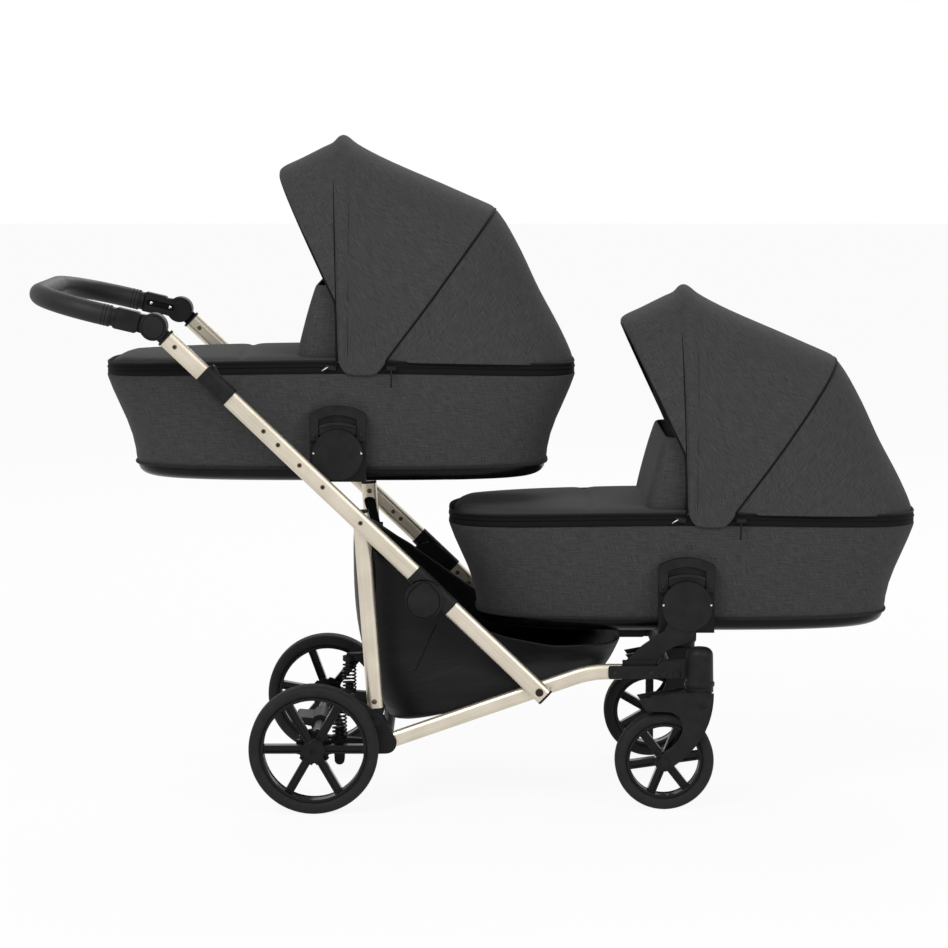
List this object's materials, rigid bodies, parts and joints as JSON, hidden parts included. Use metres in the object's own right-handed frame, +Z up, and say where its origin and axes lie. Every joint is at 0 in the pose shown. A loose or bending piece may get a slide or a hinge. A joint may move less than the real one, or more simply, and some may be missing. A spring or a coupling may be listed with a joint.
{
  "type": "twin pram",
  "caption": "Tandem pram with a folding champagne tube frame, a high rear and a low front carrycot in dark grey, each with a folding hood and a zipped boot cover",
  "frame": {"origin": "on the ground, below the middle of the pram's overall box", "axes": "+X the way the pram rolls (front), +Y its left side, +Z up"},
  "size_m": [1.603, 0.59, 1.193],
  "materials": {
    "champagne_tube": "satin champagne anodising",
    "black_plastic": "fine matte texture",
    "gloss_black": "smooth gloss",
    "black_steel": "black powder coat",
    "pin_steel": "dark zinc",
    "tyre_rubber": "matte black rubber",
    "leatherette": "fine grain",
    "heather_fabric": "dark grey heather weave",
    "basket_fabric": "black ripstop",
    "mattress_cover": "white cotton"
  },
  "bodies": {
    "chassis": {"lower_rails": "champagne_tube", "rear_brackets": "black_plastic", "crossbars": "black_steel", "front_clamps": "black_plastic", "caster_housings": "black_plastic", "cot_risers": "black_plastic", "frame_pins": "pin_steel", "basket": "basket_fabric", "suspension_springs": "black_steel"},
    "rear_legs": {"leg_tubes": "champagne_tube", "leg_fittings": "black_plastic"},
    "lower_arms": {"brace_tubes": "champagne_tube", "brace_hubs": "black_plastic", "brace_caps": "black_plastic"},
    "push_frame": {"main_tubes": "champagne_tube", "main_hubs": "black_plastic", "handle_tubes": "champagne_tube", "handle_sockets": "black_plastic", "cot_adapters": "black_plastic", "tube_rivets": "pin_steel"},
    "handle": {"handle_bar": "black_plastic", "handle_grip": "leatherette"},
    "rear_axle": {"swing_arms": "black_plastic", "axle_shaft": "black_steel"},
    "brake": {"brake_pedal": "black_plastic"},
    "slider_left": {"fold_slider_left": "black_plastic"},
    "tilt_button_left": {"tilt_button_left": "gloss_black"},
    "rear_wheel_left": {"rear_rim_left": "gloss_black", "rear_tyre_left": "tyre_rubber"},
    "caster_left": {"caster_fork_left": "black_plastic"},
    "front_wheel_left": {"front_rim_left": "gloss_black", "front_tyre_left": "tyre_rubber"},
    "slider_right": {"fold_slider_right": "black_plastic"},
    "tilt_button_right": {"tilt_button_right": "gloss_black"},
    "rear_wheel_right": {"rear_rim_right": "gloss_black", "rear_tyre_right": "tyre_rubber"},
    "caster_right": {"caster_fork_right": "black_plastic"},
    "front_wheel_right": {"front_rim_right": "gloss_black", "front_tyre_right": "tyre_rubber"},
    "upper_cot": {"upper_cot_tub": "heather_fabric", "upper_cot_base": "black_plastic", "upper_mattress": "mattress_cover", "upper_boot_cover": "heather_fabric", "upper_cot_brackets": "black_plastic"},
    "upper_levers": {"upper_levers": "gloss_black"},
    "upper_hood_rear": {"upper_rear_bow": "black_plastic", "upper_hood_rear": "heather_fabric"},
    "upper_hood_front": {"upper_front_bow": "black_plastic", "upper_hood_front": "heather_fabric"},
    "lower_cot": {"lower_cot_tub": "heather_fabric", "lower_cot_base": "black_plastic", "lower_mattress": "mattress_cover", "lower_boot_cover": "heather_fabric", "lower_cot_brackets": "black_plastic"},
    "lower_levers": {"lower_levers": "gloss_black"},
    "lower_hood_rear": {"lower_rear_bow": "black_plastic", "lower_hood_rear": "heather_fabric"},
    "lower_hood_front": {"lower_front_bow": "black_plastic", "lower_hood_front": "heather_fabric"}
  },
  "joints": [
    {"name": "fold", "type": "hinge", "parent": "chassis", "child": "lower_arms", "pos_m": [0.116, 0, 0.21307], "axis": [0, 1, 0], "range_deg": [0, 83.69], "deforming": ["basket"]},
    {"name": "hub_fold", "type": "hinge", "parent": "lower_arms", "child": "push_frame", "pos_m": [-0.08824, 0, 0.37975], "axis": [0, 1, 0], "range_deg": [-143.15, 0]},
    {"name": "leg_fold", "type": "hinge", "parent": "chassis", "child": "rear_legs", "pos_m": [-0.174, 0, 0.156], "axis": [0, 1, 0], "range_deg": [0, 50.01]},
    {"name": "handle_tilt", "type": "hinge", "parent": "push_frame", "child": "handle", "pos_m": [-0.561, 0, 0.862], "axis": [0, 1, 0], "range_deg": [-35, 40]},
    {"name": "suspension", "type": "hinge", "parent": "chassis", "child": "rear_axle", "pos_m": [-0.191, 0, 0.112], "axis": [0, 1, 0], "range_deg": [0, 6], "stiffness_Nm_per_rad": 120, "springref_deg": -6.88, "deforming": ["suspension_springs"]},
    {"name": "brake_press", "type": "hinge", "parent": "rear_axle", "child": "brake", "pos_m": [-0.284, 0, 0.115], "axis": [0, 1, 0], "range_deg": [0, 25]},
    {"name": "fold_slider_left", "type": "slide", "parent": "push_frame", "child": "slider_left", "axis": [-0.7219, 0, 0.692], "range_m": [0, 0.015], "stiffness_N_per_m": 300},
    {"name": "tilt_button_left", "type": "slide", "parent": "push_frame", "child": "tilt_button_left", "axis": [0, -1, 0], "range_m": [0, 0.0035], "stiffness_N_per_m": 600},
    {"name": "rear_wheel_left", "type": "hinge", "parent": "rear_axle", "child": "rear_wheel_left", "pos_m": [-0.284, 0.272, 0.115], "axis": [0, 1, 0], "continuous": true},
    {"name": "swivel_left", "type": "hinge", "parent": "chassis", "child": "caster_left", "pos_m": [0.401, 0.236, 0.23], "axis": [0, 0, 1], "continuous": true},
    {"name": "front_wheel_left", "type": "hinge", "parent": "caster_left", "child": "front_wheel_left", "pos_m": [0.339, 0.236, 0.088], "axis": [0, 1, 0], "continuous": true},
    {"name": "fold_slider_right", "type": "slide", "parent": "push_frame", "child": "slider_right", "axis": [-0.7219, 0, 0.692], "range_m": [0, 0.015], "stiffness_N_per_m": 300},
    {"name": "tilt_button_right", "type": "slide", "parent": "push_frame", "child": "tilt_button_right", "axis": [0, 1, 0], "range_m": [0, 0.0035], "stiffness_N_per_m": 600},
    {"name": "rear_wheel_right", "type": "hinge", "parent": "rear_axle", "child": "rear_wheel_right", "pos_m": [-0.284, -0.272, 0.115], "axis": [0, 1, 0], "continuous": true},
    {"name": "swivel_right", "type": "hinge", "parent": "chassis", "child": "caster_right", "pos_m": [0.401, -0.236, 0.23], "axis": [0, 0, 1], "continuous": true},
    {"name": "front_wheel_right", "type": "hinge", "parent": "caster_right", "child": "front_wheel_right", "pos_m": [0.339, -0.236, 0.088], "axis": [0, 1, 0], "continuous": true},
    {"name": "upper_cot_lift", "type": "slide", "parent": "chassis", "child": "upper_cot", "axis": [0, 0, 1], "range_m": [0, 0.601]},
    {"name": "upper_levers", "type": "slide", "parent": "upper_cot", "child": "upper_levers", "axis": [0, 0, 1], "range_m": [0, 0.01], "stiffness_N_per_m": 500, "springref_m": -0.01},
    {"name": "upper_hood_rear", "type": "hinge", "parent": "upper_cot", "child": "upper_hood_rear", "pos_m": [-0.185, 0, 0.784], "axis": [0, 1, 0], "range_deg": [0, 36], "deforming": ["upper_hood_rear", "upper_hood_front"]},
    {"name": "upper_hood_front", "type": "hinge", "parent": "upper_hood_rear", "child": "upper_hood_front", "pos_m": [-0.185, 0, 0.784], "axis": [0, 1, 0], "range_deg": [0, 37.81]},
    {"name": "lower_cot_lift", "type": "slide", "parent": "chassis", "child": "lower_cot", "axis": [0, 0, 1], "range_m": [0, 0.251]},
    {"name": "lower_levers", "type": "slide", "parent": "lower_cot", "child": "lower_levers", "axis": [0, 0, 1], "range_m": [0, 0.01], "stiffness_N_per_m": 500, "springref_m": -0.01},
    {"name": "lower_hood_rear", "type": "hinge", "parent": "lower_cot", "child": "lower_hood_rear", "pos_m": [0.437, 0, 0.512], "axis": [0, 1, 0], "range_deg": [0, 36], "deforming": ["lower_hood_rear", "lower_hood_front"]},
    {"name": "lower_hood_front", "type": "hinge", "parent": "lower_hood_rear", "child": "lower_hood_front", "pos_m": [0.437, 0, 0.512], "axis": [0, 1, 0], "range_deg": [0, 37.81]}
  ],
  "couplings": [
    {"joint": "hub_fold", "follows": "fold", "ratio": -1.7105},
    {"joint": "leg_fold", "follows": "fold", "ratio": 0.59747},
    {"joint": "upper_cot_lift", "follows": "fold", "m_per_rad": 0.41079},
    {"joint": "upper_hood_front", "follows": "upper_hood_rear", "ratio": 1.05},
    {"joint": "lower_cot_lift", "follows": "fold", "m_per_rad": 0.17116},
    {"joint": "lower_hood_front", "follows": "lower_hood_rear", "ratio": 1.05}
  ]
}
